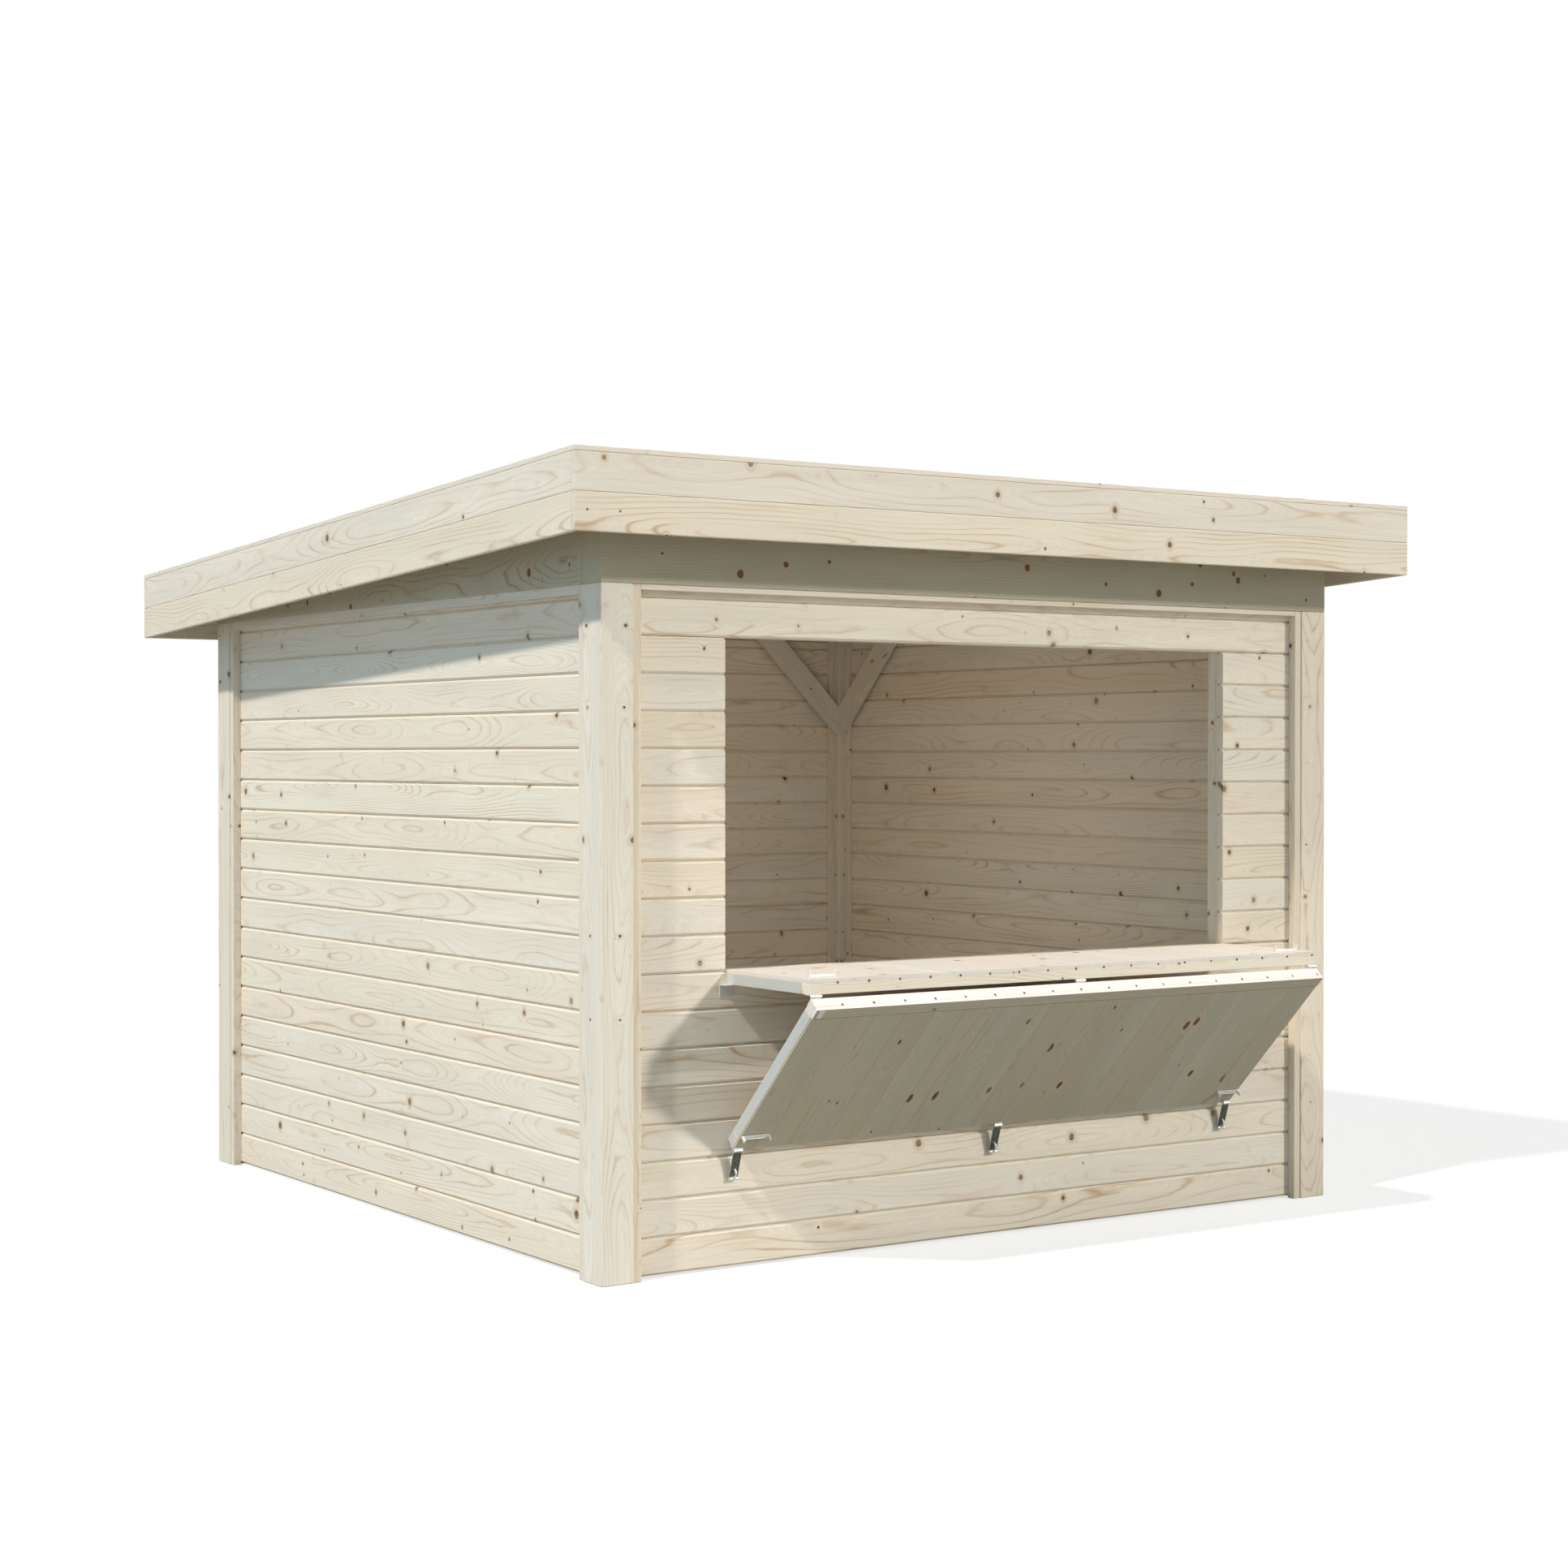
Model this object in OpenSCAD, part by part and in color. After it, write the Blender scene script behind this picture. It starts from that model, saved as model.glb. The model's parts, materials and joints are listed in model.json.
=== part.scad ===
// Timber market stall: four corner posts, boarded walls, a mono-pitch roof and a
// drop-down serving counter with a hinged lower leaf.
// Millimetres. +Z up, the front with the serving opening faces -Y.
// The origin is on the ground, under the middle of the whole stall.

/* [Footprint] */
// Width over the corner posts, left to right
outer_w = 3150; // [2700:10:4200]
// Depth over the corner posts, front to back
outer_d = 3150; // [2400:10:4200]

/* [Posts and beams] */
// Side of a square corner post, and thickness of the beams on it
post = 120; // [95:5:160]
// Height of the front beam at its front face
front_beam_h = 228; // [215:1:400]
// Leg of a knee brace, measured down the post
brace_leg = 445; // [250:5:600]
// Width of a brace across its face
brace_w = 95; // [60:5:120]
// Thickness of a brace
brace_t = 34; // [20:1:40]

/* [Wall boards] */
// Thickness of a wall board
board_t = 28; // [19:1:34]
// Cover width of one wall board
board_pitch = 120; // [100:1:122]
// Gap between the ground and the lowest board
board_lift = 9; // [0:1:40]
// Full rows of boards from the lowest board to the top of a wall
wall_rows = 18; // [17:1:23]
// Width of the ripped board above the full rows
rip_w = 39; // [20:1:95]
// Set-back of the boards behind the outer face of the posts
board_recess = 38; // [20:1:38]

/* [Battens] */
// Width of the cover battens beside the posts
cover_w = 30; // [20:1:60]
// Set-back of the cover battens behind the face of the posts
cover_recess = 5; // [0:1:12]
// Height of the cover batten under the front beam
front_top_cover_h = 18; // [12:1:40]
// Height of the cover battens under the side and back beams
side_top_cover_h = 30; // [12:1:40]
// Depth of the battens that hold the boards from inside
inner_batten_t = 20; // [12:1:20]

/* [Serving opening] */
// Width of the serving opening
opening_w = 2180; // [1200:10:2380]
// Rows of boards below the opening
sill_rows = 8; // [6:1:10]
// Full rows of boards above the opening
header_rows = 1; // [1:1:3]
// Width of the timber around the opening
opening_timber_w = 34; // [20:1:45]

/* [Roof] */
// Fall of the roof towards the back, in degrees
roof_slope = 3; // [1:0.5:4]
// Overhang of the fascia in front of the posts
front_overhang = 215; // [150:5:400]
// Overhang of the fascia behind the posts
back_overhang = 265; // [100:5:400]
// Overhang of the fascia beside the posts
side_overhang = 215; // [100:5:400]
// Number of rafters over the walls
rafter_count = 6; // [4:1:9]
// Width of a rafter
rafter_w = 45; // [35:1:60]
// Depth of a rafter
rafter_h = 120; // [90:5:160]
// Thickness of the roof boards
roof_board_t = 19; // [15:1:25]
// Thickness of a fascia board
fascia_t = 20; // [15:1:30]
// Height of the two fascia boards together
fascia_h = 242; // [160:2:300]
// Width of the trim strip on the roof edge
trim_w = 45; // [30:1:80]
// Thickness of the trim strip on the roof edge
trim_t = 17; // [10:1:30]

/* [Counter and shutter] */
// Gap beside the counter and the shutter leaf, at each side of the opening
counter_clearance = 5; // [3:1:20]
// Reach of the counter in front of the boards
counter_reach = 480; // [380:5:600]
// Rise of the counter's top above the sill
counter_rise = 4; // [0:1:20]
// Thickness of the counter's top boards
counter_top_t = 12; // [10:1:30]
// Thickness of the rails under the counter
counter_rail_t = 36; // [20:1:45]
// Length of the shutter leaf from its hinge to its free edge
leaf_len = 685; // [600:5:720]
// Thickness of the boards of the shutter leaf
leaf_board_t = 12; // [10:1:30]
// Thickness of the battens on the shutter leaf
leaf_batten_t = 36; // [20:1:45]
// Width of the counter's rails and of the leaf's battens along it
edge_w = 45; // [36:1:70]
// Width of the battens at the two ends of the leaf
leaf_end_w = 30; // [20:1:60]

/* [Hardware] */
// Outer radius of a hinge knuckle
knuckle_r = 5; // [4:0.5:8]
// Length of a whole hinge
hinge_len = 40; // [30:1:80]
// Radius of a hinge pin
pin_r = 2.5; // [2:0.5:3]
// Thickness of the hinge plates, straps and brackets
plate_t = 2; // [1.5:0.5:3]
// Width of a latch strap
strap_w = 33; // [20:1:40]
// Length of a latch strap below the leaf
strap_len = 104; // [60:1:120]
// Length of a bar bracket
bracket_len = 104; // [60:1:140]
// Height of the bent ends of a bar bracket
bracket_h = 24; // [15:1:40]

/* [Hidden] */
$fn = 48;

wood = [0.87, 0.81, 0.69];
wood_dark = [0.78, 0.71, 0.58];
steel = [0.72, 0.74, 0.76];

butt_gap = 0.5;                     // open joint where two battens butt
trim_seat = 0.05;                   // play between the trim strips and the sloping roof
half_w = outer_w / 2;
inner_x = half_w - post;            // inner face of the posts beside the walls
inner_w = outer_w - 2 * post;
inner_d = outer_d - 2 * post;
board_in = board_recess + board_t;  // inner face of the boards, from the post face
batten_in = board_in + inner_batten_t;
wall_h = wall_rows * board_pitch + rip_w;
post_h = board_lift + wall_h;

sill_z = board_lift + sill_rows * board_pitch;
head_z = board_lift + (wall_rows - header_rows) * board_pitch;

// Underside of the rafters and top of the roof boards at a distance y behind the front
function rafter_under(y) = post_h + front_beam_h - y * tan(roof_slope);
function roof_under(y) = rafter_under(y) + rafter_h;
function roof_top(y) = roof_under(y) + roof_board_t;

eave_front = -front_overhang;
eave_back = outer_d + back_overhang;
eave_side = half_w + side_overhang;
roof_x = eave_side - fascia_t;      // inner face of the side fascia
roof_y0 = eave_front + fascia_t;
roof_y1 = eave_back - fascia_t;

// The front braces stop short of the timber around the opening
brace_room = inner_x - opening_w / 2 - 2 * opening_timber_w + post_h - head_z;
front_brace_leg = min(brace_leg, brace_room);

counter_w = opening_w - 2 * counter_clearance;
counter_z1 = sill_z + counter_rise;
counter_z0 = counter_z1 - counter_top_t - counter_rail_t;
counter_y0 = board_recess - counter_reach;
leaf_t = leaf_board_t + leaf_batten_t;

// The hinge pin lies under the joint between the counter and the opened leaf
leaf_gap = 3;
pin_y = counter_y0 - leaf_gap;
pin_z = counter_z0 - knuckle_r;
// At rest the lower edge of the leaf leans towards the boards and keeps this gap
lean_gap = 6;
leaf_diag = sqrt(pow(leaf_len + leaf_gap, 2) + pow(knuckle_r, 2));
leaf_lean = acos((board_recess - lean_gap - pin_y) / leaf_diag) - atan2(knuckle_r, leaf_len + leaf_gap);
knuckle_gap = 0.5;
pin_clearance = 0.1;
knuckle_len = (hinge_len - 2 * knuckle_gap) / 3;
hinge_plate_w = 32;
hinge_count = 3;
hinge_x = counter_w / 2 - hinge_len / 2;

strap_x = counter_w / 2 - strap_w / 2;
strap_tilt = 27;                    // between the leaf and the strap
strap_tab = 12;
bar_w = 12;
bracket_inset = 55;                 // from the front edge of the counter
bracket_side = 34;                  // from its ends
leaf_bracket_inset = 62;            // from the free edge of the leaf
leaf_bracket_side = 1;
wall_plate_w = 55;
wall_plate_h = 38;

// Outermost points along Y, and the shift that puts the origin under the middle
leaf_front_y = pin_y + leaf_gap * cos(leaf_lean) - (knuckle_r + leaf_t) * sin(leaf_lean);
mid_y = (leaf_front_y + eave_back) / 2;

module place() {
    translate([0, -mid_y, 0]) children();
}

// A box from one corner to the opposite one
module block(a, b) {
    translate(a) cube([b[0] - a[0], b[1] - a[1], b[2] - a[2]]);
}

// A side view drawn as [y, z] points, extruded from x0 to x1
module along_x(x0, x1, points) {
    translate([x0, 0, 0]) rotate([90, 0, 90]) linear_extrude(height = x1 - x0) polygon(points);
}

// Mirrors the left half of the stall to the right
module right_side() {
    mirror([1, 0, 0]) children();
}

module corner_post(x, y) {
    color(wood) place() translate([x, y, 0]) cube([post, post, post_h]);
}

// Beam along X whose top follows the rafters
module cross_beam(y) {
    color(wood) place() along_x(-half_w, half_w, [
        [y, post_h], [y + post, post_h],
        [y + post, rafter_under(y + post)], [y, rafter_under(y)]
    ]);
}

// Wedge beam on the left wall, between the front and back beams
module side_beam() {
    color(wood) along_x(-half_w, -inner_x, [
        [post, post_h], [outer_d - post, post_h],
        [outer_d - post, rafter_under(outer_d - post)], [post, rafter_under(post)]
    ]);
}

module side_wall() {
    color(wood) block([-half_w + board_recess, post, board_lift],
        [-half_w + board_in, outer_d - post, post_h]);
}

// Part of the front wall between two x and two z values
module front_wall(x0, x1, z0, z1) {
    color(wood) place() block([x0, board_recess, z0], [x1, board_in, z1]);
}

// Cover battens of one wall: two uprights and a top strip, drawn for a wall of
// this length that starts at x = 0 and has its post faces at y = 0
module cover_frame(length, top_h) {
    strip_x = cover_w + butt_gap;
    block([0, cover_recess, 0], [cover_w, board_recess, post_h]);
    block([length - cover_w, cover_recess, 0], [length, board_recess, post_h]);
    block([strip_x, cover_recess, post_h - top_h], [length - strip_x, board_recess, post_h]);
}

// One inside batten standing beside a post
module inner_batten() {
    translate([0, board_in, board_lift]) cube([cover_w, inner_batten_t, wall_h]);
}

// A pair of inside battens on a wall of this length, drawn as cover_frame is
module inner_batten_pair(length) {
    inner_batten();
    translate([length - cover_w, 0, 0]) inner_batten();
}

// Places what is drawn for a wall at the front, back, left or right
module at_front() {
    translate([-inner_x, 0, 0]) children();
}

module at_back() {
    translate([inner_x, outer_d, 0]) rotate([0, 0, 180]) children();
}

module at_left() {
    translate([-half_w, outer_d - post, 0]) rotate([0, 0, -90]) children();
}

module at_right() {
    translate([half_w, post, 0]) rotate([0, 0, 90]) children();
}

// A 45 degree brace in the XZ plane, from a post at x = 0 towards +X
module brace(leg) {
    cut = brace_w * sqrt(2);
    translate([0, brace_t, 0]) rotate([90, 0, 0]) linear_extrude(height = brace_t)
        polygon([[0, post_h - leg], [leg, post_h], [leg - cut, post_h], [0, post_h - leg + cut]]);
}

// The two braces of the front left corner, with their own leg lengths
module corner_braces(leg_across, leg_along) {
    translate([-inner_x, post - brace_t, 0]) brace(leg_across);
    translate([-inner_x, post, 0]) rotate([0, 0, 90]) brace(leg_along);
}

module left_corner_braces_front() {
    color(wood_dark) place() corner_braces(front_brace_leg, brace_leg);
}

module left_corner_braces_back() {
    color(wood_dark) place() translate([0, outer_d, 0]) mirror([0, 1, 0])
        corner_braces(brace_leg, brace_leg);
}

module rafter(x) {
    along_x(x - rafter_w / 2, x + rafter_w / 2, [
        [roof_y0, rafter_under(roof_y0)], [roof_y1, rafter_under(roof_y1)],
        [roof_y1, roof_under(roof_y1)], [roof_y0, roof_under(roof_y0)]
    ]);
}

module rafters() {
    reach = half_w - post / 2;
    fly = roof_x - rafter_w / 2;
    color(wood_dark) place() {
        for (i = [0 : rafter_count - 1]) rafter(-reach + i * 2 * reach / (rafter_count - 1));
        rafter(-fly);
        rafter(fly);
    }
}

module roof_boards() {
    color(wood) place() along_x(-roof_x, roof_x, [
        [roof_y0, roof_under(roof_y0)], [roof_y1, roof_under(roof_y1)],
        [roof_y1, roof_top(roof_y1)], [roof_y0, roof_top(roof_y0)]
    ]);
}

module fascia_across(y_out, y_in) {
    low = roof_top(y_out) - fascia_h;
    color(wood) place() along_x(-eave_side, eave_side, [
        [y_out, low], [y_in, low], [y_in, roof_top(y_in)], [y_out, roof_top(y_out)]
    ]);
}

module fascia_side() {
    color(wood) along_x(-eave_side, -roof_x, [
        [roof_y0, roof_top(roof_y0) - fascia_h], [roof_y1, roof_top(roof_y1) - fascia_h],
        [roof_y1, roof_top(roof_y1)], [roof_y0, roof_top(roof_y0)]
    ]);
}

// Flat strip on the roof, between two x values and two y values
module trim_strip(x0, x1, y0, y1) {
    along_x(x0, x1, [
        [y0, roof_top(y0) + trim_seat], [y1, roof_top(y1) + trim_seat],
        [y1, roof_top(y1) + trim_t], [y0, roof_top(y0) + trim_t]
    ]);
}

// Four strips on the fascia and the ends of the roof boards
module roof_edge_trim() {
    in_x = eave_side - trim_w;
    y0 = eave_front + trim_w;
    y1 = eave_back - trim_w;
    color(wood) place() {
        trim_strip(-eave_side, eave_side, eave_front, y0);
        trim_strip(-eave_side, eave_side, y1, eave_back);
        trim_strip(-eave_side, -in_x, y0 + butt_gap, y1 - butt_gap);
        trim_strip(in_x, eave_side, y0 + butt_gap, y1 - butt_gap);
    }
}

module opening_stud() {
    color(wood) block([-opening_w / 2 - opening_timber_w, board_in, board_lift],
        [-opening_w / 2, post, head_z + opening_timber_w]);
}

module opening_sill_rail() {
    color(wood) place() block([-opening_w / 2, board_in, sill_z - opening_timber_w],
        [opening_w / 2, post, sill_z]);
}

module opening_head_rail() {
    color(wood) place() block([-opening_w / 2, board_in, head_z],
        [opening_w / 2, post, head_z + opening_timber_w]);
}

module counter_top() {
    color(wood) place() block([-counter_w / 2, counter_y0, counter_z1 - counter_top_t],
        [counter_w / 2, board_recess, counter_z1]);
}

// Four flat battens along the edges of a rectangle that is counter_w wide: the two
// across run from end to end, and the two at the ends butt against them
module edge_frame(y0, y1, z0, z1, end_w) {
    half = counter_w / 2;
    block([-half, y0, z0], [half, y0 + edge_w, z1]);
    block([-half, y1 - edge_w, z0], [half, y1, z1]);
    for (x = [-half, half - end_w])
        block([x, y0 + edge_w + butt_gap, z0], [x + end_w, y1 - edge_w - butt_gap, z1]);
}

// Frame of rails under the edges of the counter
module counter_rails() {
    color(wood_dark) place()
        edge_frame(counter_y0, board_recess, counter_z0, counter_z0 + counter_rail_t, edge_w);
}

// Angle plate under one end of the counter, screwed to the boards
module counter_bracket() {
    x0 = -counter_w / 2 - wall_plate_w / 2;
    x1 = x0 + wall_plate_w;
    block([x0, board_recess - plate_t, counter_z0 - wall_plate_h], [x1, board_recess, counter_z0]);
    block([x0, board_recess - wall_plate_h, counter_z0 - plate_t], [x1, board_recess - plate_t, counter_z0]);
}

module counter_brackets() {
    color(steel) place() {
        counter_bracket();
        right_side() counter_bracket();
    }
}

// Flat bar with both ends bent up, lying on the plane z = 0 along X
module bar_bracket() {
    block([0, 0, 0], [bracket_len, bar_w, plate_t]);
    block([0, 0, plate_t], [plate_t, bar_w, bracket_h]);
    block([bracket_len - plate_t, 0, plate_t], [bracket_len, bar_w, bracket_h]);
}

module counter_bar_brackets() {
    at = [-counter_w / 2 + bracket_side, counter_y0 + bracket_inset, counter_z1];
    color(steel) place() {
        translate(at) bar_bracket();
        right_side() translate(at) bar_bracket();
    }
}

// Draws the leaf as if opened level in line with the counter, with the pin's axis as
// the X axis and the leaf towards -Y, and turns it to where it leans at rest
module leaning() {
    place() translate([0, pin_y, pin_z]) rotate([180 - leaf_lean, 0, 0]) children();
}

leaf_y0 = -leaf_gap;
leaf_y1 = -leaf_gap - leaf_len;
leaf_seat = knuckle_r + leaf_batten_t;   // outer side of the battens, under the boards
leaf_top = knuckle_r + leaf_t;

module shutter_panel() {
    color(wood) leaning() block([-counter_w / 2, leaf_y1, leaf_seat], [counter_w / 2, leaf_y0, leaf_top]);
}

module shutter_battens() {
    color(wood) leaning() edge_frame(leaf_y1, leaf_y0, knuckle_r, leaf_seat, leaf_end_w);
}

function hinge_centre(i) = -hinge_x + i * 2 * hinge_x / (hinge_count - 1);

// Middle knuckle with the pin and the plate under the counter
module shutter_hinge_pins() {
    color(steel) place() for (i = [0 : hinge_count - 1]) translate([hinge_centre(i), pin_y, pin_z]) {
        rotate([0, 90, 0]) cylinder(h = hinge_len, r = pin_r, center = true);
        rotate([0, 90, 0]) cylinder(h = knuckle_len, r = knuckle_r, center = true);
        block([-knuckle_len / 2, 0, knuckle_r - plate_t], [knuckle_len / 2, leaf_gap + 1, knuckle_r]);
        block([-hinge_len / 2, leaf_gap + 1, knuckle_r - plate_t], [hinge_len / 2, hinge_plate_w, knuckle_r]);
    }
}

// Outer knuckle of a hinge, open for the pin
module leaf_knuckle(side) {
    x0 = side > 0 ? knuckle_len / 2 + knuckle_gap : -hinge_len / 2;
    difference() {
        union() {
            translate([x0, 0, 0]) rotate([0, 90, 0]) cylinder(h = knuckle_len, r = knuckle_r);
            block([x0, leaf_y0 - 1, knuckle_r - plate_t], [x0 + knuckle_len, 0, knuckle_r]);
        }
        translate([x0 - 1, 0, 0]) rotate([0, 90, 0]) cylinder(h = knuckle_len + 2, r = pin_r + pin_clearance);
    }
}

module shutter_hinge_leaves() {
    color(steel) leaning() for (i = [0 : hinge_count - 1]) translate([hinge_centre(i), 0, 0]) {
        leaf_knuckle(1);
        leaf_knuckle(-1);
        block([-hinge_len / 2, -hinge_plate_w, knuckle_r - plate_t], [hinge_len / 2, leaf_y0 - 1, knuckle_r]);
    }
}

// Strap on the free edge of the leaf: a tab on the boards, the strap and its hooked end
module latch_strap() {
    translate([0, leaf_y1, leaf_top]) {
        block([0, -plate_t, -edge_w / 2], [strap_w, 0, plate_t]);
        block([0, 0, 0], [strap_w, strap_tab, plate_t]);
        rotate([-strap_tilt, 0, 0]) translate([0, -strap_len, 0]) {
            cube([strap_w, strap_len, plate_t]);
            translate([0, knuckle_r, knuckle_r]) rotate([0, 90, 0]) difference() {
                cylinder(h = strap_w, r = knuckle_r);
                translate([0, 0, -1]) cylinder(h = strap_w + 2, r = knuckle_r - plate_t);
            }
        }
    }
}

module latch_straps() {
    color(steel) leaning() for (x = [-strap_x, 0, strap_x]) translate([x - strap_w / 2, 0, 0]) latch_strap();
}

module shutter_bar_brackets() {
    at = [-counter_w / 2 + leaf_bracket_side, leaf_y1 + leaf_bracket_inset, leaf_top];
    color(steel) leaning() {
        translate(at) bar_bracket();
        right_side() translate(at) bar_bracket();
    }
}

corner_post(-half_w, 0);  // front_left_post
corner_post(inner_x, 0);  // front_right_post
corner_post(-half_w, outer_d - post);  // back_left_post
corner_post(inner_x, outer_d - post);  // back_right_post
cross_beam(0);  // front_beam
cross_beam(outer_d - post);  // back_beam
place() side_beam();  // left_side_beam
right_side() place() side_beam();  // right_side_beam
place() side_wall();  // left_wall
right_side() place() side_wall();  // right_wall
color(wood) place() translate([0, outer_d, 0]) mirror([0, 1, 0])  // back_wall
    block([-inner_x, board_recess, board_lift], [inner_x, board_in, post_h]);
front_wall(-inner_x, inner_x, board_lift, sill_z);  // front_wall_below
front_wall(-inner_x, -opening_w / 2, sill_z, head_z);  // front_wall_left
front_wall(opening_w / 2, inner_x, sill_z, head_z);  // front_wall_right
front_wall(-inner_x, inner_x, head_z, post_h);  // front_wall_header
color(wood) place() at_front() cover_frame(inner_w, front_top_cover_h);  // front_cover_battens
color(wood) place() at_left() cover_frame(inner_d, side_top_cover_h);  // left_cover_battens
color(wood) place() at_right() cover_frame(inner_d, side_top_cover_h);  // right_cover_battens
color(wood) place() at_back() cover_frame(inner_w, side_top_cover_h);  // back_cover_battens
color(wood_dark) place() {  // inner_corner_battens
    at_front() inner_batten_pair(inner_w);
    at_back() inner_batten_pair(inner_w);
    at_left() inner_batten_pair(inner_d);
    at_right() inner_batten_pair(inner_d);
}
place() opening_stud();  // opening_left_stud
right_side() place() opening_stud();  // opening_right_stud
opening_sill_rail();
opening_head_rail();
left_corner_braces_front();  // front_left_braces
right_side() left_corner_braces_front();  // front_right_braces
left_corner_braces_back();  // back_left_braces
right_side() left_corner_braces_back();  // back_right_braces
rafters();
roof_boards();
fascia_across(eave_front, roof_y0);  // fascia_front
fascia_across(eave_back, roof_y1);  // fascia_back
place() fascia_side();  // fascia_left
right_side() place() fascia_side();  // fascia_right
roof_edge_trim();
counter_top();
counter_rails();
counter_brackets();
counter_bar_brackets();
shutter_panel();
shutter_battens();
shutter_hinge_pins();
shutter_hinge_leaves();
latch_straps();
shutter_bar_brackets();
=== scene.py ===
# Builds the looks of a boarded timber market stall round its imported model.
import json
import math
import random
import bmesh
import bpy
from mathutils import Matrix, Vector


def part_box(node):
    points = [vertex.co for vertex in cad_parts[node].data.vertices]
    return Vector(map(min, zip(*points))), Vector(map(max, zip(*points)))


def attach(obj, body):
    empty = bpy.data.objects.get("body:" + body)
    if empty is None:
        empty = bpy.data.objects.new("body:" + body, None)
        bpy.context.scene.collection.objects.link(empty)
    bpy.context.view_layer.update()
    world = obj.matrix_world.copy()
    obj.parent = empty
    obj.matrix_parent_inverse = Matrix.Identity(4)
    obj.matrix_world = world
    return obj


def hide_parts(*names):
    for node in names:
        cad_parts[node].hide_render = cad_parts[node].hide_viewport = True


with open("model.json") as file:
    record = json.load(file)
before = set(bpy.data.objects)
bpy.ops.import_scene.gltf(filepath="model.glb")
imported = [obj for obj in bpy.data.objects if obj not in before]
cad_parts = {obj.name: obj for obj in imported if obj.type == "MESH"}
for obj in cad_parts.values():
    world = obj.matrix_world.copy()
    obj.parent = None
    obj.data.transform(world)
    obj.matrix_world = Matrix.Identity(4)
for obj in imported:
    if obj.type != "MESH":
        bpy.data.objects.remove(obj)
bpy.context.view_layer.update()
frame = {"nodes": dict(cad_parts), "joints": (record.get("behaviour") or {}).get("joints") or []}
scene = bpy.context.scene
print("frame loaded:", len(frame["nodes"]), "nodes")


def newObject(name, data):
    result = bpy.data.objects.new(name, data)
    scene.collection.objects.link(result)
    return result


# Camera

viewOptions = {
    "place": (-5.724, -8.688, 1.662),  # eye, in metres from the middle of the stall
    "turn": 33.82,  # degrees to the right of straight ahead
    "tilt": -0.585,  # degrees above the horizon
    "lens": 61.06,  # millimetres
    "sensor": 36.0,  # its width, millimetres
    "far": 200.0,  # metres
}


def placeCamera(options):
    data = bpy.data.cameras.new("stallCamera")
    data.sensor_width = options["sensor"]
    data.lens = options["lens"]
    data.clip_end = options["far"]
    camera = newObject("stallCamera", data)
    camera.location = options["place"]
    camera.rotation_euler = (math.radians(90 + options["tilt"]), 0, -math.radians(options["turn"]))
    scene.camera = camera


placeCamera(viewOptions)


# Shader helpers

def addNode(tree, kind, inputs=None, **settings):
    node = tree.nodes.new(kind)
    for key, value in settings.items():
        setattr(node, key, value)
    for key, value in (inputs or {}).items():
        feed(tree, node.inputs[key], value)
    return node


def feed(tree, socket, value):
    if isinstance(value, bpy.types.NodeSocket):
        tree.links.new(value, socket)
    else:
        socket.default_value = value


def calc(tree, operation, *values):
    node = addNode(tree, "ShaderNodeMath", operation=operation)
    for index, value in enumerate(values):
        feed(tree, node.inputs[index], value)
    return node.outputs[0]


def vecCalc(tree, operation, *values):
    node = addNode(tree, "ShaderNodeVectorMath", operation=operation)
    for index, value in enumerate(values):
        feed(tree, node.inputs[index], value)
    return node.outputs["Value" if operation == "LENGTH" else "Vector"]


def times(tree, first, second):
    return calc(tree, "MULTIPLY", first, second)


def remap(tree, value, fromLow, fromHigh, toLow=0.0, toHigh=1.0, smooth=False):
    node = addNode(tree, "ShaderNodeMapRange", clamp=True)
    node.interpolation_type = "SMOOTHSTEP" if smooth else "LINEAR"
    for index, item in enumerate((value, fromLow, fromHigh, toLow, toHigh)):
        feed(tree, node.inputs[index], item)
    return node.outputs[0]


def blendColour(tree, amount, first, second):
    node = addNode(tree, "ShaderNodeMix", data_type="RGBA")
    feed(tree, node.inputs[0], amount)
    feed(tree, node.inputs[6], first)
    feed(tree, node.inputs[7], second)
    return node.outputs[2]


def noise(tree, vector, scale=1.0, detail=2.0, roughness=0.5):
    node = addNode(tree, "ShaderNodeTexNoise", {"Vector": vector, "Scale": scale, "Detail": detail,
                                                "Roughness": roughness})
    return node.outputs[0]


def ramp(tree, value, stops):
    node = addNode(tree, "ShaderNodeValToRGB", {"Fac": value})
    points = node.color_ramp.elements
    while len(points) < len(stops):
        points.new(0.5)
    for point, (place, colour) in zip(points, stops):
        point.position = place
        point.color = colour
    return node.outputs[0]


def newMaterial(name):
    material = bpy.data.materials.new(name)
    material.use_nodes = True
    material.node_tree.nodes.clear()
    return material, material.node_tree


# Spruce

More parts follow.
